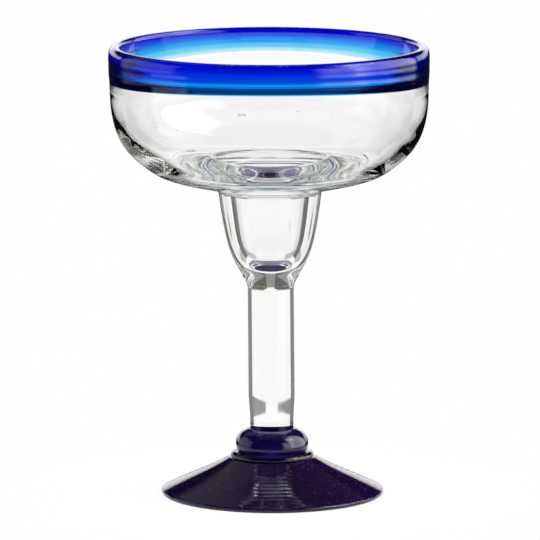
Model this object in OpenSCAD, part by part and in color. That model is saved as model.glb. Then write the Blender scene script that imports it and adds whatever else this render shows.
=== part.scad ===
// Hand-blown margarita glass: a wide clear bowl over a small lower cup,
// a coloured band wrapped round the rim, a solid clear stem, and a
// coloured knop, collar and spreading foot. All pieces are turned about
// the Z axis and fused face to face while the glass is hot.
// The origin is the centre of the circle that the foot stands on.

/* [Bowl] */
// Widest outside diameter of the clear bowl
bowl_d = 126.8; // [116:0.2:140]
// Height from the crease above the lower cup to the top of the rim
bowl_h = 57.4; // [50:0.2:75]
// Outside diameter where the underside turns up into the side
haunch_d = 97.6; // [84:0.2:106]
// Height of that turn above the crease
haunch_h = 8.9; // [7:0.1:13]
// Height of the upright side between its curve and the band
upright_h = 8.2; // [2:0.2:12]
// Thickness of the upright side
side_wall = 1.35; // [1.2:0.05:2.5]
// Thickness of the glass at the haunch
haunch_wall = 2.4; // [1.8:0.1:5]
// Thickness of the floor inside the haunch, where it is lowest
floor_wall = 2.9; // [2:0.1:5]
// Diameter of the crest of the ring of glass gathered round the throat
ring_d = 47.6; // [44:0.2:58]
// Height of that crest above the crease
ring_h = 11.2; // [9:0.1:13]
// Diameter at which the ring turns down into the throat
throat_d = 45.6; // [34:0.2:50]
// Depth of that turn below the crest
throat_drop = 0.4; // [0.2:0.1:3]
// Diameter at which the throat steps in to the mouth of the lower cup
throat_foot_d = 41.6; // [34:0.2:44]
// Height of that step above the crease
throat_foot_h = 5.6; // [4:0.1:8]

/* [Lower cup] */
// Outside diameter of the lower cup at the crease
cup_d = 41.3; // [36:0.1:46]
// Height of the lower cup from the stem to the crease
cup_h = 37.8; // [32:0.2:48]
// Length of the rounding of the crease on each side of it
crease_round = 1.5; // [0.5:0.1:3]
// Inside diameter of its mouth
mouth_d = 28.8; // [22:0.2:31]
// Height of its mouth above the crease
mouth_h = 1.6; // [1:0.1:3.6]
// Inside diameter where its wall turns in to the bottom
heel_d = 22.6; // [18:0.2:25]
// Height of that turn above the bottom of the hollow
heel_h = 10.2; // [7:0.1:13]
// Solid glass between the hollow and the stem
cup_floor = 7; // [4:0.1:9]

/* [Rim band] */
// Height of the band from its lower edge to the top of the rim
band_h = 11.8; // [10:0.1:18]
// How far the band stands out from the bowl's side
band_bulge = 0.3; // [0.1:0.05:1]
// Depth of its fullest line below the top of the rim
bulge_drop = 8.4; // [5:0.1:9]
// How far the crest of the rim lies in from the bowl's side
crest_in = 2.9; // [2:0.1:4]
// How far the band's inner edge lies in from the bowl's side
lip_t = 4.3; // [4.1:0.05:6]
// Depth of the inner edge line below the top of the rim
lip_drop = 2; // [1:0.1:3]
// Thickness of the rim where the clear glass under the band is thickest
step_t = 3.65; // [2.5:0.05:5]
// Height of that line above the band's lower edge
step_h = 2.8; // [1.5:0.1:5]
// Thickness of the rim where the clear glass runs out into the side
knee_t = 2.1; // [1.6:0.05:2.6]
// Depth of that line below the band's lower edge
knee_drop = 0.6; // [0:0.1:2]

/* [Stem] */
// Length of the solid stem
stem_l = 58.6; // [40:0.2:90]
// Diameter of its even middle
stem_d = 18.2; // [15:0.1:21]
// Diameter where it is fused to the lower cup
stem_top_d = 19.2; // [17:0.1:23]
// Diameter where it is fused to the knop
stem_foot_d = 17.2; // [14:0.1:19]
// Length of the flare under the cup
flare_l = 8.5; // [5:0.1:14]
// Length of the slight taper above the knop
taper_l = 24; // [16:0.5:30]

/* [Knop] */
// Height of the knop
knop_h = 9.2; // [7:0.1:12]
// Diameter at its fullest line
knop_d = 29; // [25:0.1:33]
// Height of that line above the knop's base
knop_girth_h = 2.8; // [2:0.1:4]
// How far its base is tucked in under that line
knop_tuck = 1.5; // [0.5:0.1:4]

/* [Foot collar] */
// Height of the collar
collar_h = 2.4; // [1.8:0.1:4]
// Diameter at its fullest line
collar_d = 33; // [30:0.1:37]
// Height of that line above the collar's base
collar_girth_h = 1.1; // [0.6:0.1:1.5]
// How far its base is tucked in under that line
collar_tuck = 0.8; // [0.2:0.1:2]

/* [Foot] */
// Height of the foot from the table to the collar
foot_h = 14.6; // [11:0.1:22]
// Widest diameter of the foot
foot_d = 88.6; // [76:0.2:100]
// Height of its widest line above the table
foot_edge_h = 1.3; // [0.8:0.1:2]
// Height at which the rounded edge runs into the slope
foot_slope_h = 2.2; // [1.8:0.1:3.2]
// How far the rounding draws in under and over the edge
foot_edge_round = 1.1; // [0.6:0.1:2]
// How far the flat seat reaches out past the collar
seat_margin = 1; // [0:0.1:3]
// Width of the ring that stands on the table, with its rounded edge
rest_w = 5.8; // [3:0.1:9]
// Thickness of the glass between the hollow and the collar
crown_t = 6.2; // [4:0.1:9]
// Diameter of the scar left by the pontil rod
pontil_d = 17; // [12:0.5:24]
// How far the scar stands down from the hollow
pontil_t = 0.6; // [0.2:0.1:1.2]

/* [Smoothness] */
// Straight steps in each curve of an outline
curve_steps = 10; // [6:1:20]
// Sides of every round piece
round_sides = 144; // [72:12:240]

/* [Hidden] */
$fn = round_sides;

// Levels of the faces at which the pieces are fused
collar_z = foot_h;
knop_z = collar_z + collar_h;
stem_z = knop_z + knop_h;
cup_z = stem_z + stem_l;
crease_z = cup_z + cup_h;
rim_z = crease_z + bowl_h;

// Directions in degrees: straight out from the axis, up, in and down
out_angle = 0;
up_angle = 90;
in_angle = 180;
down_angle = 270;

// Directions of the outlines at their stations, in degrees
underside_angle = 13.5;
haunch_angle = 37.4;
floor_angle = 16;
ring_out_angle = 173;
ring_in_angle = 249;
throat_foot_angle = 238;
shelf_angle = 222;
mouth_angle = 260;
heel_angle = 254;
neck_angle = 66.5;
crease_angle = 82.8;
lip_angle = 274;
knee_angle = 295;
flare_angle = 72;
slope_angle = 153.8;
seat_angle = 148.8;
hollow_angle = 164;
knop_base_angle = 32;
knop_top_angle = 170;

// How strongly each end of a curve follows its direction
underside_shares = [0.6, 0.25];
side_shares = [0.23, 0.6];
inner_side_shares = [0.6, 0.23];
neck_shares = [0.3, 0.76];
well_shares = [0.36, 0.23];
bottom_shares = [0.46, 0.45];
inner_lip_shares = [0.3, 0.4];
round_shares = [0.4, 0.4];
crest_shares = [0.55, 0.45];
slope_shares = [0.41, 0.34];

// How far along the underside, from crease to haunch, the floor is lowest
floor_share = 0.62;

function dir(angle) = [cos(angle), sin(angle)];

// One point of a cubic curve from a to b with the inner controls p and q
function on_curve(a, p, q, b, t) =
    pow(1 - t, 3) * a + 3 * pow(1 - t, 2) * t * p
    + 3 * (1 - t) * t * t * q + pow(t, 3) * b;

// One point of the curve that leaves a along one direction and comes
// to b along the other, at a share t of its run
function between(a, leave, b, arrive, shares, t) =
    let (chord = norm(b - a))
    on_curve(a,
             a + chord * shares[0] * dir(leave),
             b - chord * shares[1] * dir(arrive),
             b, t);

// The points after a on that curve
function flow(a, leave, b, arrive, shares = round_shares) =
    [for (i = [1 : curve_steps])
        between(a, leave, b, arrive, shares, i / curve_steps)];

// Radius at which the knop sits on the collar
knop_base_r = knop_d / 2 - knop_tuck;

// Stations shared by the bowl and the band that is wrapped on it
band_edge = [bowl_d / 2, rim_z - band_h];
lip_edge = [bowl_d / 2 - lip_t, rim_z - lip_drop];

// Clear bowl and lower cup, blown as one bubble
module bowl() {
    neck = [stem_top_d / 2, cup_z];
    crease = [cup_d / 2, crease_z];
    crease_low = crease - crease_round * dir(crease_angle);
    crease_out = crease + crease_round * dir(underside_angle);
    haunch = [haunch_d / 2, crease_z + haunch_h];
    side = band_edge - [0, upright_h];
    step = band_edge + [-step_t, step_h];
    knee = band_edge - [knee_t, knee_drop];
    inner_side = side - [side_wall, 0];
    inner_haunch = haunch + haunch_wall * dir(haunch_angle + up_angle);
    under_floor = between(crease_out, underside_angle, haunch, haunch_angle,
                          underside_shares, floor_share);
    floor_low = under_floor + floor_wall * dir(floor_angle + up_angle);
    ring = [ring_d / 2, crease_z + ring_h];
    throat = [throat_d / 2, ring[1] - throat_drop];
    throat_foot = [throat_foot_d / 2, crease_z + throat_foot_h];
    mouth = [mouth_d / 2, crease_z + mouth_h];
    heel = [heel_d / 2, cup_z + cup_floor + heel_h];
    bottom = [0, cup_z + cup_floor];
    color([0.88, 0.94, 0.92, 0.45])
        rotate_extrude()
            polygon(concat(
                [[0, cup_z], neck],
                flow(neck, neck_angle, crease_low, crease_angle, neck_shares),
                flow(crease_low, crease_angle, crease_out, underside_angle),
                flow(crease_out, underside_angle, haunch, haunch_angle, underside_shares),
                flow(haunch, haunch_angle, side, up_angle, side_shares),
                [band_edge, lip_edge],
                flow(lip_edge, lip_angle, step, lip_angle),
                flow(step, knee_angle, knee, knee_angle),
                flow(knee, knee_angle, inner_side, down_angle, inner_lip_shares),
                flow(inner_side, down_angle, inner_haunch, in_angle + haunch_angle,
                     inner_side_shares),
                flow(inner_haunch, in_angle + haunch_angle, floor_low, in_angle + floor_angle),
                flow(floor_low, in_angle + floor_angle, ring, ring_out_angle),
                flow(ring, ring_out_angle, throat, ring_in_angle),
                flow(throat, ring_in_angle, throat_foot, throat_foot_angle),
                flow(throat_foot, shelf_angle, mouth, mouth_angle),
                flow(mouth, mouth_angle, heel, heel_angle, well_shares),
                flow(heel, heel_angle, bottom, in_angle, bottom_shares)));
}

// Coloured band wrapped round the rim and melted over its top
module rim_band() {
    fullest = [bowl_d / 2 + band_bulge, rim_z - bulge_drop];
    crest = [bowl_d / 2 - crest_in, rim_z];
    color([0.05, 0.1, 0.75, 0.85])
        rotate_extrude()
            polygon(concat(
                [band_edge],
                flow(band_edge, up_angle, fullest, up_angle),
                flow(fullest, up_angle, crest, in_angle, crest_shares),
                flow(crest, in_angle, lip_edge, down_angle)));
}

// Solid drawn stem
module stem() {
    foot_end = [stem_foot_d / 2, stem_z];
    taper_end = [stem_d / 2, stem_z + taper_l];
    flare_start = [stem_d / 2, cup_z - flare_l];
    top_end = [stem_top_d / 2, cup_z];
    color([0.88, 0.94, 0.92, 0.45])
        rotate_extrude()
            polygon(concat(
                [[0, stem_z], foot_end],
                flow(foot_end, up_angle, taper_end, up_angle),
                [flare_start],
                flow(flare_start, up_angle, top_end, flare_angle),
                [[0, cup_z]]));
}

// Round bead between the stem and the collar
module knop() {
    base = [knop_base_r, knop_z];
    girth = [knop_d / 2, knop_z + knop_girth_h];
    top = [stem_foot_d / 2, stem_z];
    color([0.1, 0.06, 0.4])
        rotate_extrude()
            polygon(concat(
                [[0, knop_z], base],
                flow(base, knop_base_angle, girth, up_angle),
                flow(girth, up_angle, top, knop_top_angle),
                [[0, stem_z]]));
}

// Ring of glass laid round the top of the foot to carry the knop
module foot_collar() {
    girth = [collar_d / 2, collar_z + collar_girth_h];
    base = [girth[0] - collar_tuck, collar_z];
    top = [knop_base_r, knop_z];
    color([0.1, 0.06, 0.4])
        rotate_extrude()
            polygon(concat(
                [[0, collar_z], base],
                flow(base, out_angle, girth, up_angle),
                flow(girth, up_angle, top, in_angle),
                [[0, knop_z]]));
}

// Spreading foot, hollow underneath, with the pontil scar at its middle
module foot() {
    rest_out = [foot_d / 2 - foot_edge_round, 0];
    edge = [foot_d / 2, foot_edge_h];
    slope_start = [foot_d / 2 - foot_edge_round, foot_slope_h];
    seat = [collar_d / 2 + seat_margin, foot_h];
    rest_in = [foot_d / 2 - rest_w, 0];
    scar_out = [pontil_d / 2, foot_h - crown_t];
    scar_in = scar_out - [pontil_t, pontil_t];
    color([0.08, 0.04, 0.3])
        rotate_extrude()
            polygon(concat(
                [[0, scar_in[1]], scar_in, scar_out],
                flow(scar_out, out_angle, rest_in, in_angle + hollow_angle, slope_shares),
                [rest_out],
                flow(rest_out, out_angle, edge, up_angle),
                flow(edge, up_angle, slope_start, slope_angle),
                flow(slope_start, slope_angle, seat, seat_angle, slope_shares),
                [[0, foot_h]]));
}

foot();
foot_collar();
knop();
stem();
bowl();
rim_band();
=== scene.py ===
# %% [markdown]
# # A hand-blown margarita glass
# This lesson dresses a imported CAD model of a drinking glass. Every piece of
# the real glass is hot glass: a clear bowl and lower cup blown as one bubble,
# a cobalt band wrapped round the rim, a clear stem, and a cobalt knop, collar
# and foot. Glass shows almost nothing of itself. It shows what stands round
# it, bent by its walls, so the lesson spends its effort on true wall shapes,
# on a simple finish for each colour of glass, and on a studio worth bending.
# We start by loading the CAD model, which fixes where everything is.

# %% Load the model
import bpy
import math
import random
import numpy as np
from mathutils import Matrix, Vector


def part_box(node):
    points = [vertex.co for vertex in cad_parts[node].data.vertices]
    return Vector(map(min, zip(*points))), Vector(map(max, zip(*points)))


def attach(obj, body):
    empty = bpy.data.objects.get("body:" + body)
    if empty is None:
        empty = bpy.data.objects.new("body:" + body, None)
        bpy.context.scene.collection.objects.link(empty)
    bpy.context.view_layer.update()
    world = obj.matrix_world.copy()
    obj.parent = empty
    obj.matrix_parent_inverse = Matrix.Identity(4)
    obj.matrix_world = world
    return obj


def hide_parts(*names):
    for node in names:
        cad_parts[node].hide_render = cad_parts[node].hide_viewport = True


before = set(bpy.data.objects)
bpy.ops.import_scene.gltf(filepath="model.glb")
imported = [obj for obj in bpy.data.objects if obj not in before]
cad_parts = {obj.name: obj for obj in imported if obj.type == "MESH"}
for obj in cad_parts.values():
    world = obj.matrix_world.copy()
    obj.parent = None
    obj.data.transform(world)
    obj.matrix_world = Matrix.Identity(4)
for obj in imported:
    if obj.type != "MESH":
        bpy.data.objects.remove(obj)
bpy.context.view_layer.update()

# %% [markdown]
# ## Heights of the joints
# A glassmaker keeps a few sizes in mind: how wide the rim is, where the
# underside turns up, how thick the floor is. We work in millimetres, as the
# CAD source does. The heights where one gather of glass is fused to the next
# are read from the CAD pieces, so fused faces always meet. A hairline is left
# between them, because two skins at exactly one place would flicker.

# %% Sizes in millimetres
MM = 0.001


def top_of(node):
    return round(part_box(node)[1][2] / MM, 1)


collar_z = top_of("foot")
knop_z = top_of("foot_collar")
stem_z = top_of("knop")
cup_z = top_of("stem")
rim_z = top_of("rim_band")
crease_z = 122.6
bowl_r = 63.4
hairline = 0.02
print("joints at", collar_z, knop_z, stem_z, cup_z, "mm, rim at", rim_z, "mm")

# %% [markdown]
# ## Curves that flow like soft glass
# Soft glass never has a sharp change of direction unless a tool pressed one
# in. A cubic curve that leaves one station in a chosen direction and arrives
# at the next in another does the same. We could type in dozens of points, but
# then one change would ruin the sweep; directions and pulls stay easy to edit.

# %% A curve between two stations
def heading(degrees):
    return np.array([math.cos(math.radians(degrees)), math.sin(math.radians(degrees))])


def flow(start, leave, end, arrive, pulls=(0.4, 0.4), steps=20):
    start, end = np.array(start, float), np.array(end, float)
    chord = np.linalg.norm(end - start)
    t = np.linspace(0, 1, steps + 1)[:, None]
    near = start + chord * pulls[0] * heading(leave)
    far = end - chord * pulls[1] * heading(arrive)
    return ((1 - t) ** 3 * start + 3 * (1 - t) ** 2 * t * near
            + 3 * (1 - t) * t * t * far + t ** 3 * end)


def straight(start, end, steps=1):
    t = np.linspace(0, 1, steps + 1)[:, None]
    return (1 - t) * np.array(start, float) + t * np.array(end, float)


def joined(*curves):
    """One outline from curves that each start where the last one ended."""
    return np.vstack([curve[:-1] for curve in curves[:-1]] + [curves[-1]])


print("a flow makes", len(flow((1, 0), 0, (2, 1), 90)), "points")

# %% [markdown]
# ## The hand in hand-made
# No blown glass is a perfect turning. The gaffer's bench leaves a slight lean
# and slow waves that run round the wall. We describe them once, as a smooth
# field in space, and move every piece by it. Because both sides of a fused
# joint move alike, the joints stay closed.

# %% A smooth field of unevenness
band_edge_z = 168.2
lean_across = 1.5


def lean(z):
    return lean_across / 2 - lean_across * z / rim_z


def sway(radius, z, angle):
    slow = 0.0016 * np.cos(2 * angle + 0.7 + 0.012 * z)
    wave = 0.0009 * np.cos(3 * angle - 1.1 - 0.03 * z)
    return radius * (1 + slow + wave)


def settle(z, angle):
    """The band was trailed on by hand, so its lower edge dips and climbs on its way round."""
    near_edge = np.exp(-((z - band_edge_z) / 6.0) ** 2)
    return near_edge * (1.05 * np.sin(angle) - 1.53 * np.cos(2 * angle) - 0.58)


print("lean from foot to rim:", round(lean(0) - lean(rim_z), 2), "mm")

# %% [markdown]
# ## Turning a piece
# The stem, knop and bowl are all round, so a lathe suits them: take the
# outline in runs, spin each run round the axis, and close the skin. Blender's
# screw modifier would do it too, but spinning the points ourselves lets each
# run carry its own hand-made waves, and lets each face remember whether it is
# open skin or a fused joint. Corners sharper than 40 degrees are marked sharp,
# since a smoothed corner bends light that the real one lets through.

# %% Rings of points and the faces between them
def ring_points(radius, z, angle, out, up):
    full = sway(radius, z, angle) + out
    high = z + up + settle(z, angle)
    return zip((full * np.cos(angle) + lean(z)) * MM, full * np.sin(angle) * MM, high * MM)


def bridge(low, low_is_tip, high, high_is_tip, around):
    """Faces between two rings, either of which may be one point on the axis."""
    if low_is_tip and high_is_tip:
        return
    for i in range(around):
        j = (i + 1) % around
        if low_is_tip:
            yield (low, high + j, high + i)
        elif high_is_tip:
            yield (low + i, low + j, high)
        else:
            yield (low + i, low + j, high + j, high + i)


print("two rings of 4 points make", len(list(bridge(0, False, 4, False, 4))), "faces")

# %% [markdown]
# Old bottles never melt quite clear of air. A seed is a tiny bubble that was
# drawn out flat as the wall was blown. It is a closed skin inside the wall
# that faces inwards, which tells the renderer that there is no glass in it.

# %% A bubble inside the wall
def seed_bubble(verts, faces, middle, z, angle, wide, high):
    first, sides, rings, depth = len(verts), 10, 6, 0.22
    side = np.array([-math.sin(angle), math.cos(angle), 0.0])
    deep = np.array([math.cos(angle), math.sin(angle), 0.0])
    centre = middle * deep + np.array([lean(z), 0, z + settle(z, angle)])
    for k in range(rings + 1):
        tilt = math.pi * k / rings
        for i in range(sides if 0 < k < rings else 1):
            turn = 2 * math.pi * i / sides
            point = (centre + side * wide * math.sin(tilt) * math.cos(turn)
                     + deep * depth * math.sin(tilt) * math.sin(turn)
                     + np.array([0, 0, high * math.cos(tilt)]))
            verts.append(tuple(point * MM))
    row = [first] + [first + 1 + sides * k for k in range(rings)]
    for i in range(sides):
        j = (i + 1) % sides
        faces.append((first, row[1] + j, row[1] + i))
        for k in range(1, rings - 1):
            faces.append((row[k] + i, row[k] + j, row[k + 1] + j, row[k + 1] + i))
        faces.append((row[rings - 1] + i, row[rings - 1] + j, row[rings]))


# %% [markdown]
# The lathe itself takes the runs in order and always gives one closed skin,
# because the last ring is joined to the first. It keeps a number on each face,
# 1 where the face is a fused joint, for the finish to read.

# %% The lathe
def turn_piece(name, runs, finish, around=288, seeds=()):
    """Each run is its points, how fused its faces are, and its shaping. The last meets the first."""
    angle = np.linspace(0, 2 * math.pi, around, endpoint=False)
    verts, rings, faces, face_fused = [], [], [], []
    for points, fused, shaping in runs:
        for station, (radius, z) in enumerate(points[:-1]):
            is_tip = radius < 1e-6
            rings.append((len(verts), is_tip, float(fused)))
            if is_tip:
                verts.append((lean(z) * MM, 0.0, z * MM))
                continue
            share = station / (len(points) - 1)
            out, up = shaping(radius, z, angle, share) if shaping else (0.0, 0.0)
            verts += ring_points(radius, z, angle, out, up)
    for (low, low_is_tip, fused), (high, high_is_tip, _) in zip(rings, rings[1:] + rings[:1]):
        faces += bridge(low, low_is_tip, high, high_is_tip, around)
        face_fused += [fused] * (len(faces) - len(face_fused))
    for seed in seeds:
        seed_bubble(verts, faces, *seed)
    face_fused += [0.0] * (len(faces) - len(face_fused))
    mesh = bpy.data.meshes.new(name)
    mesh.from_pydata(verts, [], faces)
    mesh.materials.append(finish)
    mesh.attributes.new("fused", "FLOAT", "FACE").data.foreach_set("value", face_fused)
    mesh.polygons.foreach_set("use_smooth", [True] * len(faces))
    mesh.update()
    mesh.set_sharp_from_angle(angle=math.radians(40))
    piece = bpy.data.objects.new(name, mesh)
    bpy.context.scene.collection.objects.link(piece)
    print(name, "turned with", len(faces), "faces")
    return piece


def stand_for(piece, node):
    """The piece stands for its CAD node, which is hidden, and rides on the one body."""
    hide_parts(node)
    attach(piece, "root")


# %% [markdown]
# ## Finishes
# Clear glass of this kind is melted from old bottles, so it has a faint olive
# cast that only shows where the light has a long way to go. Colour of that
# sort belongs in the body of the glass, not on its skin: the surface stays a
# clean dielectric, and Volume Absorption takes a little red and blue out of
# every millimetre. Cobalt glass is the same idea, but far stronger. The skin
# has slow ripples, which we add with a noise texture and a bump.

# %% Small helpers for shader nodes
def put(tree, kind, inputs=(), **settings):
    node = tree.nodes.new(kind)
    for key, value in settings.items():
        setattr(node, key, value)
    for key, value in dict(inputs).items():
        if isinstance(value, bpy.types.NodeSocket):
            tree.links.new(value, node.inputs[key])
        else:
            node.inputs[key].default_value = value
    return node


def new_finish(name):
    finish = bpy.data.materials.new(name)
    finish.use_nodes = True
    finish.node_tree.nodes.clear()
    return finish, finish.node_tree


def blend_shaders(tree, share, first, second):
    mixed = put(tree, "ShaderNodeMixShader", {"Fac": share})
    tree.links.new(first, mixed.inputs[1])
    tree.links.new(second, mixed.inputs[2])
    return mixed.outputs[0]


# %% A rippled skin of clean glass
def rippled_skin(tree, place, color, ripple, ripple_scale):
    noise = put(tree, "ShaderNodeTexNoise", {
        "Vector": place, "Scale": ripple_scale, "Detail": 3.0, "Roughness": 0.45})
    bump = put(tree, "ShaderNodeBump", {
        "Height": noise.outputs["Fac"], "Strength": ripple, "Distance": 0.002})
    skin = put(tree, "ShaderNodeBsdfPrincipled", {
        "Base Color": color, "Roughness": 0.0, "IOR": 1.5, "Transmission Weight": 1.0,
        "Normal": bump.outputs["Normal"]})
    return skin.outputs[0]


# %% [markdown]
# Thick cobalt is not quite black. A little blue light comes back from just
# under its skin, and grains of colour that never melted show as blue specks.
# A weak diffuse layer stands for both, stronger in the middle of the cells of
# a Voronoi texture.
#
# Where two gathers are fused there is no air between them, so light must pass
# straight on from one colour to the next. Each piece keeps its own closed
# skin, and the faces of a joint are simply see-through. Under the knop the
# joint holds a cloud of trapped seeds: a joint value above 1 adds a pale film.

# %% Bloom and fused joints
def bloomed(tree, place, skin, bloom):
    grains = put(tree, "ShaderNodeTexVoronoi", {"Vector": place, "Scale": 420.0})
    specks = put(tree, "ShaderNodeMapRange", {
        "Value": grains.outputs["Distance"], "From Min": 0.12, "From Max": 0.24,
        "To Min": 8.0 * bloom, "To Max": bloom})
    blue = put(tree, "ShaderNodeBsdfDiffuse", {"Color": (0.12, 0.03, 0.36, 1)})
    return blend_shaders(tree, specks.outputs[0], skin, blue.outputs[0])


def fused_where_marked(tree, skin):
    joint = put(tree, "ShaderNodeAttribute", attribute_name="fused").outputs["Fac"]
    cloud = put(tree, "ShaderNodeMath", {0: joint, 1: 1.0}, operation="SUBTRACT", use_clamp=True)
    film = blend_shaders(tree, cloud.outputs[0], put(tree, "ShaderNodeBsdfTransparent").outputs[0],
                         put(tree, "ShaderNodeBsdfDiffuse", {"Color": (0.8, 0.8, 0.85, 1)}).outputs[0])
    return blend_shaders(tree, joint, skin, film)


# %% [markdown]
# A finish puts these together: the skin with its pattern, the joints, and the
# body that colours what passes through. Volume Absorption is given the colour
# that is left, and a density per metre for how fast the rest goes.

# %% A finish for each colour of glass
def glass_finish(name, body, pattern, ripple=0.002, ripple_scale=60.0, bloom=0.0):
    """The body is the colour that the glass lets through and how strongly it absorbs the rest."""
    finish, tree = new_finish(name)
    place = put(tree, "ShaderNodeTexCoord").outputs["Object"]
    skin = rippled_skin(tree, place, pattern(tree, place), ripple, ripple_scale)
    if bloom:
        skin = bloomed(tree, place, skin, bloom)
    color, density = body
    depth = put(tree, "ShaderNodeVolumeAbsorption", {"Color": (*color, 1), "Density": density})
    put(tree, "ShaderNodeOutputMaterial", {
        "Surface": fused_where_marked(tree, skin), "Volume": depth.outputs[0]})
    print("finish", name)
    return finish


# %% [markdown]
# The skin of each glass carries a little colour of its own. Clear glass gets
# a barely visible cloudiness from the furnace. Cobalt is laid on as a trail,
# so its skin has streaks that follow the turns.

# %% Skin patterns
def color_ramp(tree, value, *stops):
    ramp = put(tree, "ShaderNodeValToRGB", {"Fac": value})
    for element, (position, color) in zip(ramp.color_ramp.elements, stops):
        element.position = position
        element.color = (*color, 1)
    return ramp.outputs["Color"]


def clear_skin(tree, place):
    cloud = put(tree, "ShaderNodeTexNoise", {"Vector": place, "Scale": 45.0, "Detail": 2.0})
    return color_ramp(tree, cloud.outputs["Fac"], (0.0, (0.985, 0.99, 0.985)), (1.0, (1.0, 1.0, 1.0)))


def streaked_skin(dark, stretch):
    def skin(tree, place):
        laid = put(tree, "ShaderNodeMapping", {"Vector": place, "Scale": stretch})
        streak = put(tree, "ShaderNodeTexNoise", {
            "Vector": laid.outputs["Vector"], "Scale": 9.0, "Detail": 4.0,
            "Roughness": 0.55, "Distortion": 0.3})
        return color_ramp(tree, streak.outputs["Fac"], (0.35, dark), (0.65, (1, 1, 1)))
    return skin


# %% The four glasses
clear_body = ((0.50, 0.64, 0.25), 2.0)
band_body = ((0.0, 0.785, 0.982), 7000.0)
foot_body = ((0.15, 0.0, 0.45), 2200.0)
knop_body = ((0.22, 0.0, 0.64), 190.0)
foot_streaks = streaked_skin((0.7, 0.7, 0.95), (30, 30, 60))
band_streaks = streaked_skin((0.75, 0.8, 0.95), (4, 4, 90))
clear_glass = glass_finish("clear_glass", clear_body, clear_skin)
band_glass = glass_finish("cobalt_band_glass", band_body, band_streaks, ripple=0.05)
foot_glass = glass_finish("cobalt_foot_glass", foot_body, foot_streaks,
                          ripple=0.008, ripple_scale=90.0, bloom=0.05)
knop_glass = glass_finish("cobalt_knop_glass", knop_body, foot_streaks,
                          ripple=0.03, ripple_scale=90.0, bloom=0.02)

# %% [markdown]
# ## The outside of the bowl and the band
# The bowl and the lower cup are one bubble, necked in with jacks. The band
# is a thread of hot cobalt, wound round the lip and melted down until it runs
# over the rim, so its outside goes on where the bowl's outside ends. Outlines
# run from the joint with the stem, up the outside and over the rim.

# %% Outside outlines
band_edge = (bowl_r, band_edge_z)
lip_edge = (59.1, 178.0)
crest = (60.5, rim_z)
band_bulge = (63.68, 171.6)
crease_low = (20.46, crease_z - 1.49)
crease_out = (22.11, crease_z + 0.35)
haunch = (48.8, 131.5)
side_foot = (63.2, 160.0)
stem_top_r = 9.6
points_below_crest = 26
cup_outside = joined(flow((stem_top_r, cup_z), 66.5, crease_low, 82.8, (0.3, 0.76), 30),
                     flow(crease_low, 82.8, crease_out, 13.5, (0.4, 0.4), 10))
underside = flow(crease_out, 13.5, haunch, 37.4, (0.6, 0.25), 26)
side_outside = flow(haunch, 37.4, side_foot, 88.6, (0.23, 0.58), 34)
band_outside = joined(flow(band_edge, 86, band_bulge, 90, (0.4, 0.4), 14),
                      flow(band_bulge, 90, crest, 180, (0.55, 0.45), 26),
                      flow(crest, 180, lip_edge, 270, (0.4, 0.4), 14))
rising_skin = band_outside[:points_below_crest]
print("bowl is", round(2 * float(band_outside[:, 0].max()), 1), "mm across at the band")

# %% [markdown]
# ## The joint under the band
# The colour of the band is set by how much cobalt the light has to cross.
# Less than a millimetre looks azure, and two millimetres look deep blue. So
# the joint between clear and cobalt is drawn with care: thick cobalt at the
# crest, thin where the photograph shows the pale streak, and a little thicker
# again at the dark strip above the lower edge.

# %% Outline of the joint
dark_strip = (62.45, 169.6)
pale_streak = (62.95, 172.1)
streak_top = (61.9, 173.5)
crest_foot = (61.95, 174.3)
joint_line = joined(flow(band_edge, 150, dark_strip, 92, (0.3, 0.4), 8),
                    flow(dark_strip, 90, pale_streak, 90, (0.4, 0.4), 10),
                    flow(pale_streak, 92, streak_top, 100, (0.4, 0.4), 10),
                    flow(streak_top, 86, crest_foot, 94, (0.35, 0.35), 5),
                    flow(crest_foot, 100, lip_edge, 158, (0.4, 0.35), 12))
skin_r = float(np.interp(pale_streak[1], rising_skin[:, 1], rising_skin[:, 0]))
print("cobalt at the streak:", round(skin_r - pale_streak[0], 2), "mm")

# %% [markdown]
# ## The inside of the bowl and lower cup
# The wall is thin at the side, thick at the haunch, and very thick where the
# two cups meet, and those thicknesses decide where the dark edges and the pale
# middle of the glass fall. The inside is its own outline, from the lip down:
# a step below the lip, the side wall, the floor with a raised ring round the
# throat, and the narrow well of the lower cup.

# %% Inside outlines
inside_top_step = (59.35, 173.2)
inside_step = (59.6, 171.2)
inside_knee = (61.9, 168.3)
inside_side = (62.05, 164.0)
ring_crest = (23.8, 133.8)
ring_edge = (22.8, 133.4)
throat_low = (20.8, 128.2)
shaft = (14.4, 124.2)
heel = (11.3, 102.0)
hollow_bottom = (0.0, 91.8)
wall_shares = [(0, 2.7), (0.15, 2.1), (0.4, 1.8), (1, 1.35)]
floor_start_r = 41


def walled(outside, thickness):
    """The inner face of a wall, traced back along an outer face."""
    along = np.gradient(outside, axis=0)
    along /= np.linalg.norm(along, axis=1)[:, None]
    inward = np.column_stack([-along[:, 1], along[:, 0]])
    run = np.concatenate([[0], np.cumsum(np.linalg.norm(np.diff(outside, axis=0), axis=1))])
    thick = np.interp(run / run[-1], *zip(*thickness))
    return (outside + inward * thick[:, None])[::-1]


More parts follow.
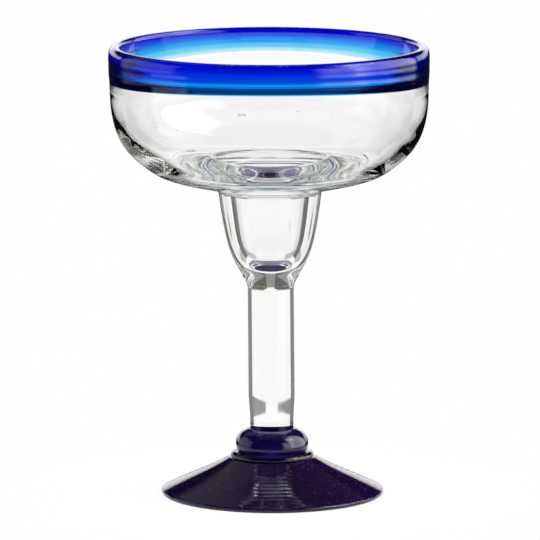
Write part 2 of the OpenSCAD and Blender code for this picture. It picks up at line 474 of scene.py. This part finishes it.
inside_top = joined(flow(lip_edge, 277, inside_top_step, 278, (0.3, 0.3), 10),
                    flow(inside_top_step, 278, inside_step, 280, (0.3, 0.3), 6),
                    flow(inside_step, 308, inside_knee, 309, (0.3, 0.3), 8),
                    flow(inside_knee, 300, inside_side, 271, (0.1, 0.4), 10))
shell = walled(joined(underside[underside[:, 0] > floor_start_r], side_outside), wall_shares)
inside_wall = joined(flow(inside_side, 268.5, shell[0], 268, (0.35, 0.35), 4), shell)
inside_floor = joined(flow(shell[-1], 196, ring_crest, 172, (0.35, 0.35), 20),
                      flow(ring_crest, 174, ring_edge, 248, (0.4, 0.4), 10),
                      flow(ring_edge, 250, throat_low, 238, (0.35, 0.35), 14),
                      flow(throat_low, 222, shaft, 260, (0.4, 0.4), 20))
inside_well = joined(flow(shaft, 262.5, heel, 256, (0.36, 0.23), 28),
                     flow(heel, 256, hollow_bottom, 180, (0.46, 0.45), 24))
print("wall at the side:", round(float(np.linalg.norm(shell[0] - side_outside[-1])), 2), "mm")

# %% [markdown]
# ## How the wall departs from a turning
# The far wall is seen through the open mouth and the near wall is seen from
# outside, and on the real glass they differ. On the far wall the cobalt and
# the thick lip run out evenly, so the blue fades through azure to clear. On
# the near wall the turns of the trail show as streaks. More glass has sagged
# to both sides of the haunch, where it gathers into soft cords.

# %% Shaping of the band joint and the lip
far_heights = (168.2, 169, 170, 171, 172, 173, 174, 175, 176, 177, 178)
far_cobalt = (0.02, 0.09, 0.17, 0.25, 0.32, 0.46, 0.64, 0.87, 1.2, 1.8, 2.9)
gentle_lip = flow(inside_side, 91, lip_edge, 96, (0.35, 0.35), 40)


def far_share(angle):
    """0 on the near wall, 1 on the far wall, with an easy passage between."""
    t = np.clip((np.sin(angle) + 0.3) / 0.9, 0, 1)
    return t * t * (3 - 2 * t)


def trail_depth(radius, z, angle, share):
    """The cobalt thins evenly down the far wall; on the near wall its turns show as streaks."""
    near = np.interp(z, joint_line[:, 1], joint_line[:, 0])
    skin = np.interp(z, rising_skin[:, 1], rising_skin[:, 0])
    far = skin - np.interp(z, far_heights, far_cobalt)
    streaks = (0.07 * np.cos(2 * math.pi * z / 1.7 + 2.2 * np.sin(angle + 0.6))
               + 0.05 * np.cos(2 * math.pi * z / 0.95 - 3.1 * np.cos(angle + 0.3)))
    out = far_share(angle) * max(0.0, far - near) + (1 - far_share(angle)) * streaks
    near_an_end = share < 0.03 or share > 0.97
    return out * (math.sin(math.pi * share) ** 0.5 if near_an_end else 1.0), 0.0


def soft_far_step(radius, z, angle, share):
    """The thick lip of clear glass runs out evenly on the far wall."""
    return far_share(angle) * (np.interp(z, gentle_lip[:, 1], gentle_lip[:, 0]) - radius), 0.0


print("cobalt on the far wall: from", far_cobalt[0], "to", far_cobalt[-1], "mm")

# %% [markdown]
# The wall's own waves are slow and slight. Low down at the sides there is more
# going on, since that is where the wall is thick and the view is aslant, and
# every unevenness there pulls the dark cards into patches.

# %% Shaping of the wall
def bowl_waves(radius, z, angle, share):
    """Slow waves of the blown wall, with a finer grain low down at the sides."""
    window = math.sin(math.pi * share)
    slow = 0.05 * np.cos(4 * angle + 0.09 * z) + 0.03 * np.cos(7 * angle - 0.05 * z)
    fine = (np.cos(19 * angle + 0.7 * z) * np.cos(11 * angle - 0.5 * z + 1)
            + 0.5 * np.cos(37 * angle - 1.3 * z + 2))
    low = 0.015 * np.exp(-((z - 138) / 7.0) ** 2) * np.cos(angle) ** 4
    return window * slow + low * fine, 0.0


def haunch_gather(radius, z, angle, share):
    """Glass sagged to the sides of the haunch, most of it on the left."""
    out, up = bowl_waves(radius, z, angle, share)
    gather = np.exp(-((z - 137) / 10.0) ** 2) * np.cos(angle) ** 2 * (1.0 - 0.25 * np.cos(angle))
    cords = 0.15 * np.cos(8 * angle + 0.45 * z) + 0.10 * np.cos(5 * angle - 0.35 * z + 1)
    at_the_sides = np.exp(-((z - 139) / 9.0) ** 4) * np.cos(angle) ** 6
    return out - gather + at_the_sides * cords, up + 0.7 * gather


# %% [markdown]
# ## The bowl and lower cup
# Now the runs go on the lathe in order, from the joint with the stem round to
# the joint with the stem again. One long seed sits at the front of the bowl,
# and small ones are scattered in the wall. The scatter is seeded, so the
# glass is the same each time.

# %% Turn the bowl
chance = random.Random(7)
seed_count = 34
bowl_seeds = [(61.5, 160.6, math.radians(-99.7), 1.7, 0.45)]
for k in range(seed_count):
    z = chance.uniform(144, 166)
    skin = float(np.interp(z, side_outside[:, 1], side_outside[:, 0]))
    size = chance.uniform(0.12, 0.26)
    bowl_seeds.append((skin - 0.75, z, chance.uniform(-math.pi, math.pi),
                       size * chance.uniform(1, 1.8), size))
bowl = turn_piece("bowl_and_lower_cup", [
    (cup_outside, 0, None),
    (underside, 0, None),
    (side_outside, 0, bowl_waves),
    (straight(side_foot, band_edge, 4), 0, None),
    (joint_line - hairline, 1, trail_depth),
    (inside_top, 0, soft_far_step),
    (inside_wall, 0, haunch_gather),
    (inside_floor, 0, None),
    (inside_well, 0, None),
    (straight(hollow_bottom, (0.0, cup_z)), 0, None),
    (straight((0.0, cup_z), (stem_top_r, cup_z)), 1, None)], clear_glass, seeds=bowl_seeds)
stand_for(bowl, "bowl")

# %% [markdown]
# ## The cobalt band
# The band has only two faces, its skin and the joint. Its skin is given the
# faint swell of each turn of the trail. Its joint is the bowl's joint run the
# other way with the same shaping, so the two fit all the way round.

# %% Turn the band
def trail_turns(radius, z, angle, share):
    window = math.sin(math.pi * share)
    return window * 0.035 * np.cos(2 * math.pi * z / 2.6 + angle), 0.0


band = turn_piece("cobalt_rim_band", [
    (band_outside, 0, trail_turns),
    (joint_line[::-1], 1, trail_depth)], band_glass)
stand_for(band, "rim_band")

# %% [markdown]
# ## The stem
# The stem is drawn solid from a gather of clear glass. A rod like this is a
# strong lens: its middle shows the bright wall behind, upside down, and only
# its edges reach far enough round to pick up the dark sides of the room. Near
# its foot it draws in by half a millimetre. That slight cone lifts the view
# up to the dark cards, which makes the two grey patches above the knop.

# %% Turn the stem
stem_foot_r = 8.6
taper_low = (stem_foot_r, 28.2)
taper_high = (9.2, 42.0)
flare_low = (9.15, 82.6)
stem_side = joined(straight((stem_foot_r, stem_z), taper_low, 3),
                   flow(taper_low, 90, taper_high, 90, (0.33, 0.33), 30),
                   straight(taper_high, flare_low, 16),
                   flow(flare_low, 90, (stem_top_r, cup_z - hairline), 66, (0.4, 0.4), 12))
stem = turn_piece("stem", [
    (straight((0.0, stem_z), (stem_foot_r, stem_z)), 1, None),
    (stem_side, 0, None),
    (straight((stem_top_r, cup_z - hairline), (0.0, cup_z - hairline)), 1, None),
    (straight((0.0, cup_z - hairline), (0.0, stem_z)), 0, None)], clear_glass, around=160)
stand_for(stem, "stem")

# %% [markdown]
# ## Knop and collar
# The bead under the stem and the ring that seats it are small gathers of
# cobalt. The bead is thin enough to let some violet through, and it mirrors
# the big window on the right. Both are a flat joint below, a rounded side and
# a flat joint above, so one function turns them.

# %% Turn the knop and the collar
def turn_bead(name, side, fused):
    """A side outline from its low joint to its high one, closed by the two flat joints."""
    (low_r, low_z), (high_r, high_z) = side[0], side[-1]
    return turn_piece(name, [
        (straight((0.0, low_z), (low_r, low_z)), fused, None),
        (side, 0, None),
        (straight((high_r, high_z), (0.0, high_z)), 1, None),
        (straight((0.0, high_z), (0.0, low_z)), 0, None)], knop_glass, around=192)


knop_foot_r, knop_girth = 13.0, (14.5, 19.8)
collar_foot_r, collar_girth = 15.7, (16.5, 15.7)
knop_side = joined(flow((knop_foot_r, knop_z), 32, knop_girth, 90, (0.4, 0.4), 16),
                   flow(knop_girth, 90, (stem_foot_r, stem_z - hairline), 170, (0.4, 0.4), 30))
collar_side = joined(flow((collar_foot_r, collar_z), 0, collar_girth, 90, (0.4, 0.4), 12),
                     flow(collar_girth, 90, (knop_foot_r, knop_z - hairline), 180, (0.4, 0.4), 18))
stand_for(turn_bead("knop", knop_side, fused=1.7), "knop")
stand_for(turn_bead("foot_collar", collar_side, fused=1), "foot_collar")

# %% [markdown]
# ## The foot
# The foot is a disc of thick cobalt, so it looks nearly black and lives by
# what it reflects. It was shaped with a wooden paddle while it turned, which
# leaves fine concentric ridges. Its underside is hollow, so that only an outer
# ring stands on the table, and in the middle is the small ground disc where
# the holding rod was broken off.

# %% Turn the foot
def paddle_ridges(radius, z, angle, share):
    window = math.sin(math.pi * share) ** 0.5
    ridges = (0.014 * np.cos(2 * math.pi * radius / 2.3 + 0.4 * np.cos(angle))
              + 0.005 * np.cos(2 * math.pi * radius / 1.1 + 0.7 * np.sin(2 * angle)))
    return 0.0, window * ridges


foot_seat, seat_r = collar_z - hairline, 17.5
pontil_r, pontil_z = 7.9, 7.8
hollow_top = (8.5, 8.4)
rest_in, rest_out = (38.5, 0.0), (43.2, 0.0)
foot_edge, slope_foot = (44.3, 1.3), (43.2, 2.2)
foot_top = flow(slope_foot, 153.8, (seat_r, foot_seat), 148.8, (0.41, 0.34), 150)
foot = turn_piece("foot", [
    (straight((0.0, pontil_z), (pontil_r, pontil_z), 4), 0, None),
    (straight((pontil_r, pontil_z), hollow_top, 2), 0, None),
    (flow(hollow_top, 0, rest_in, 344, (0.41, 0.34), 60), 0, None),
    (straight(rest_in, rest_out, 4), 0, None),
    (flow(rest_out, 0, foot_edge, 90, (0.4, 0.4), 10), 0, None),
    (flow(foot_edge, 90, slope_foot, 153.8, (0.4, 0.4), 10), 0, None),
    (foot_top, 0, paddle_ridges),
    (straight((seat_r, foot_seat), (collar_foot_r, foot_seat)), 0, None),
    (straight((collar_foot_r, foot_seat), (0.0, foot_seat)), 1, None),
    (straight((0.0, foot_seat), (0.0, pontil_z)), 0, None)], foot_glass)
stand_for(foot, "foot")

# %% [markdown]
# ## The studio
# Glass is photographed against a bright field: a white wall behind, with dark
# cards on both sides of it. Light that goes nearly straight through finds the
# wall and looks pale; light that an edge bends far aside finds the dark and
# draws the outline. Lamps could do this, but a world of soft-edged patches is
# quicker to render and easy to move. A patch is placed by its turn from the
# line of sight, to left or right, and its climb above the horizon, in degrees.

# %% A world to draw in
world = bpy.data.worlds.new("studio")
bpy.context.scene.world = world
world.use_nodes = True
sky = world.node_tree
sky.nodes.clear()


def calc(operation, a, b=0.0):
    return put(sky, "ShaderNodeMath", {0: a, 1: b}, operation=operation).outputs[0]


def fade(value, low, high):
    return put(sky, "ShaderNodeMapRange", {
        "Value": value, "From Min": math.radians(low), "From Max": math.radians(high)},
        interpolation_type="SMOOTHSTEP").outputs[0]


def span(value, low, high, soft):
    """1 between two angles, falling to 0 over a soft edge at each."""
    above = fade(value, low - soft / 2, low + soft / 2)
    return calc("MULTIPLY", above, calc("SUBTRACT", 1.0, fade(value, high - soft / 2, high + soft / 2)))


def patch(sideways, left, right, low, high, soft=2.0, rise=None):
    return calc("MULTIPLY", span(sideways, left, right, soft), span(climb, low, high, rise or soft))


direction = put(sky, "ShaderNodeTexCoord").outputs["Generated"]
ways = put(sky, "ShaderNodeSeparateXYZ", {0: direction})
turn = calc("ARCTAN2", ways.outputs[0], ways.outputs[1])
climb = calc("ARCSINE", ways.outputs[2])
apart = calc("ABSOLUTE", turn)
print("an empty studio")

# %% [markdown]
# First the room as the glass lets it through: white, less the dark cards. The
# flags far out on both sides draw the outlines and the two dark lines of the
# lower cup. The cards nearer the wall darken the haunch and the patches of the
# stem, and the dark top of the wall fills the neck. A garden behind the right
# side throws leaf-shaped gaps of olive light into the left haunch.

# %% What the glass lets through
everywhere = 200
# Each card: how dark it is, and its patch from left to right and from low to high.
dark_cards = {
    "side flags": (0.84, patch(apart, 46, 84, -36, 2)),
    "low cards": (0.72, patch(apart, 10.5, 60, -6.7, 0, 2, 0.8)),
    "high cards": (0.92, patch(apart, 10, 44, -1, 30, 3, 3)),
    "inner edges of the high cards": (0.92, patch(apart, 6, 12, 3, 30, 3, 3)),
    "below the table": (0.50, patch(apart, 12, 47, -36, -19, 4)),
    "top of the wall": (0.74, patch(apart, -everywhere, everywhere, 17, 36.5, 4)),
    "ceiling": (0.95, patch(apart, -everywhere, everywhere, 60, 120, 6))}
dark = 0.0
for amount, place in dark_cards.values():
    dark = calc("MAXIMUM", dark, calc("MULTIPLY", place, amount))
garden = patch(turn, 9, 100, 3, 25, 4)
leaves = put(sky, "ShaderNodeTexNoise", {
    "Vector": direction, "Scale": 14.0, "Detail": 3.0, "Roughness": 0.6})
gaps = put(sky, "ShaderNodeMapRange", {
    "Value": leaves.outputs["Fac"], "From Min": 0.52, "From Max": 0.64},
    interpolation_type="SMOOTHSTEP").outputs[0]
leaf_light = calc("MULTIPLY", calc("MULTIPLY", garden, gaps), 0.35)
dark = calc("MULTIPLY", dark, calc("SUBTRACT", 1.0, leaf_light))
through = calc("SUBTRACT", 1.0, dark)
print("dark cards:", ", ".join(dark_cards))

# %% [markdown]
# Then the room as the skin mirrors it: nearly black, with the pale wall, one
# big window on the right and a smaller one on the left. Two narrow strip
# lights overhead make the two upright glints on the foot, and a haze on the
# left greys that side of it.

# %% What the skin mirrors
# Each light: how bright it is, and its patch from left to right and from low to high.
mirrored = {
    "wall": (1.6, patch(apart, -44, 46, -1, 13, 2, 5)),
    "haze overhead": (0.035, patch(apart, -44, 50, 30, 80)),
    "haze on the left": (0.175, patch(turn, -44, -16, 30, 80, 12)),
    "left strip light": (8.0, patch(turn, -8.5, -7.3, 45, 78, 1, 6)),
    "right strip light": (3.0, patch(turn, 5.5, 8.5, 45, 78, 1, 6)),
    "bright pane of the right window": (4.5, patch(turn, 78, 104, 38, 56, 14)),
    "near end of the right window": (2.4, patch(turn, 104, 142, -8, 36, 14, 14)),
    "right window": (3.3, patch(turn, 50, 116, -6, 60, 8, 10)),
    "left window": (0.8, patch(turn, -108, -50, -7, 34, 10, 14)),
    "card on the left": (0.9, patch(turn, -118, -86, -27, -11, 6))}
mirror = 0.01
for strength, place in mirrored.values():
    mirror = calc("ADD", mirror, calc("MULTIPLY", place, strength))
print("mirrored:", ", ".join(mirrored))

# %% [markdown]
# Last, each kind of ray gets its own view. The camera and the diffuse rays see
# plain white, rays that went through glass see the wall and the dark cards,
# and mirrored rays see the windows. All of it is fixed to the room, so the
# glass may be looked at from any side.

# %% Join the views
rays = put(sky, "ShaderNodeLightPath")


def choose(which, otherwise, chosen):
    return put(sky, "ShaderNodeMix", {"Factor": which, "A": otherwise, "B": chosen},
               data_type="FLOAT").outputs["Result"]


seen = choose(rays.outputs["Is Transmission Ray"], mirror, through)
seen = choose(rays.outputs["Is Diffuse Ray"], seen, 1.0)
seen = choose(rays.outputs["Is Camera Ray"], seen, 1.0)
olive = calc("MULTIPLY", calc("MULTIPLY", garden, dark), rays.outputs["Is Transmission Ray"])
tone = put(sky, "ShaderNodeMix", {"Factor": olive, "A": (1, 1, 1, 1), "B": (0.80, 0.82, 0.30, 1)},
           data_type="RGBA").outputs["Result"]
light = put(sky, "ShaderNodeBackground", {"Color": tone, "Strength": seen})
put(sky, "ShaderNodeOutputWorld", {"Surface": light.outputs[0]})
print("studio lit")

# %% [markdown]
# ## The paper
# The glass stands on white paper. Seen past the glass it is plain white with
# a faint shadow. Seen through the glass it carries a painted shadow: violet
# round the foot and a little towards the back, as the cobalt would throw it,
# and nearly black under the foot. The throat and the bottom of the lower cup
# look down on that painted shadow, and that is where their violet comes
# from. The painted shadow is laid on the paper by distance from the foot.

# %% The floor disc
floor_r, floor_sides = 0.13, 96
floor_mesh = bpy.data.meshes.new("floor")
floor_mesh.from_pydata([(floor_r * math.cos(a), floor_r * math.sin(a), 0.0)
                        for a in np.linspace(0, 2 * math.pi, floor_sides, endpoint=False)],
                       [], [tuple(range(floor_sides))])
floor = bpy.data.objects.new("floor", floor_mesh)
bpy.context.scene.collection.objects.link(floor)
print("paper", 2 * floor_r, "m across")

# %% [markdown]
# The paper glows by itself, so that it is as white as the background, and a
# little plain matte is mixed in near the foot to take the soft shadow.

# %% Painted shadow on the paper
paper, tree = new_finish("white_paper")
place = put(tree, "ShaderNodeTexCoord").outputs["Object"]
# The violet painted shadow is centred a little behind the foot.
painted_shadow_shift = (0.0, -0.045, 0.0)


def distance_of(position):
    return put(tree, "ShaderNodeVectorMath", {0: position}, operation="LENGTH").outputs["Value"]


def within(distance, inner, outer):
    return put(tree, "ShaderNodeMapRange", {
        "Value": distance, "From Min": inner, "From Max": outer, "To Min": 1.0, "To Max": 0.0},
        interpolation_type="SMOOTHSTEP").outputs[0]


def combine(operation, a, b):
    return put(tree, "ShaderNodeMath", {0: a, 1: b}, operation=operation).outputs[0]


# Mixes a painted shadow colour into the paper's colour.
def with_painted_shadow(base, shadow_color, share):
    return put(tree, "ShaderNodeMix", {"Factor": share, "A": base, "B": (*shadow_color, 1)},
               data_type="RGBA").outputs["Result"]


from_foot = distance_of(place)
moved = put(tree, "ShaderNodeVectorMath", {0: place, 1: painted_shadow_shift}, operation="ADD").outputs[0]
from_painted_shadow = distance_of(moved)
through_glass = put(tree, "ShaderNodeLightPath").outputs["Is Transmission Ray"]
# Painted shadow, seen only by rays through glass: violet round the foot and towards the back, nearly
# black under the foot.
violet = combine("MAXIMUM", within(from_painted_shadow, 0.050, 0.068), within(from_foot, 0.070, 0.094))
painted_shadow_under_foot = within(from_foot, 0.043, 0.047)
paper_with_painted_shadow = with_painted_shadow((1, 1, 1, 1), (0.15, 0.12, 0.29), combine("MULTIPLY", violet, through_glass))
paper_with_painted_shadow = with_painted_shadow(paper_with_painted_shadow, (0.015, 0.008, 0.05), combine("MULTIPLY", painted_shadow_under_foot, through_glass))
glow = put(tree, "ShaderNodeEmission", {"Color": paper_with_painted_shadow, "Strength": 1.0})
matte = put(tree, "ShaderNodeBsdfDiffuse", {"Color": (0.9, 0.9, 0.9, 1)})
shadow = put(tree, "ShaderNodeMapRange", {
    "Value": from_foot, "From Min": 0.05, "From Max": 0.11, "To Min": 0.10, "To Max": 0.0})
surface = blend_shaders(tree, shadow.outputs[0], glow.outputs[0], matte.outputs[0])
put(tree, "ShaderNodeOutputMaterial", {"Surface": surface})
floor_mesh.materials.append(paper)
print("paper laid")

# %% [markdown]
# ## The camera
# The photograph looks slightly down from well back. A long lens at 2.6 metres
# gives the same shallow ellipses at the rim and the foot. The photograph is
# 540 pixels square, so the lens is worked out from a focal length in pixels,
# and a small shift puts the foot on the photograph's row of pixels.

# %% Camera
photo_px = 540
focal_px = 6618.3
foot_row_px = 492.38
back, height = 2.6, 0.50385
down = math.radians(9.044)
camera_data = bpy.data.cameras.new("camera")
camera = bpy.data.objects.new("camera", camera_data)
bpy.context.scene.collection.objects.link(camera)
bpy.context.scene.camera = camera
camera.location = (0.0, -back, height)
camera.rotation_euler = (math.pi / 2 - down, 0.0, 0.0)
camera_data.sensor_width = 36.0
camera_data.lens = focal_px * camera_data.sensor_width / photo_px
camera_data.clip_end = 50.0


def pixel_row(y, z):
    away, rise = y + back, z - height
    depth = away * math.cos(down) - rise * math.sin(down)
    return photo_px / 2 - focal_px * (rise * math.cos(down) + away * math.sin(down)) / depth


camera_data.shift_y = (foot_row_px - pixel_row(0.0, 0.0)) / photo_px
camera_data.shift_x = -0.0011
print("camera shift:", round(camera_data.shift_y, 4))

# %% [markdown]
# Light goes in and out of this glass many times, through four skins and back
# again off the inner ones. Cycles gives up after a few turns unless it is told
# to go on, and then thick places go black.

# %% View and bounces
scene = bpy.context.scene
scene.view_settings.view_transform = "Standard"
scene.cycles.max_bounces = 40
scene.cycles.transmission_bounces = 40
scene.cycles.glossy_bounces = 24
scene.cycles.transparent_max_bounces = 40
print("bounces:", scene.cycles.max_bounces)
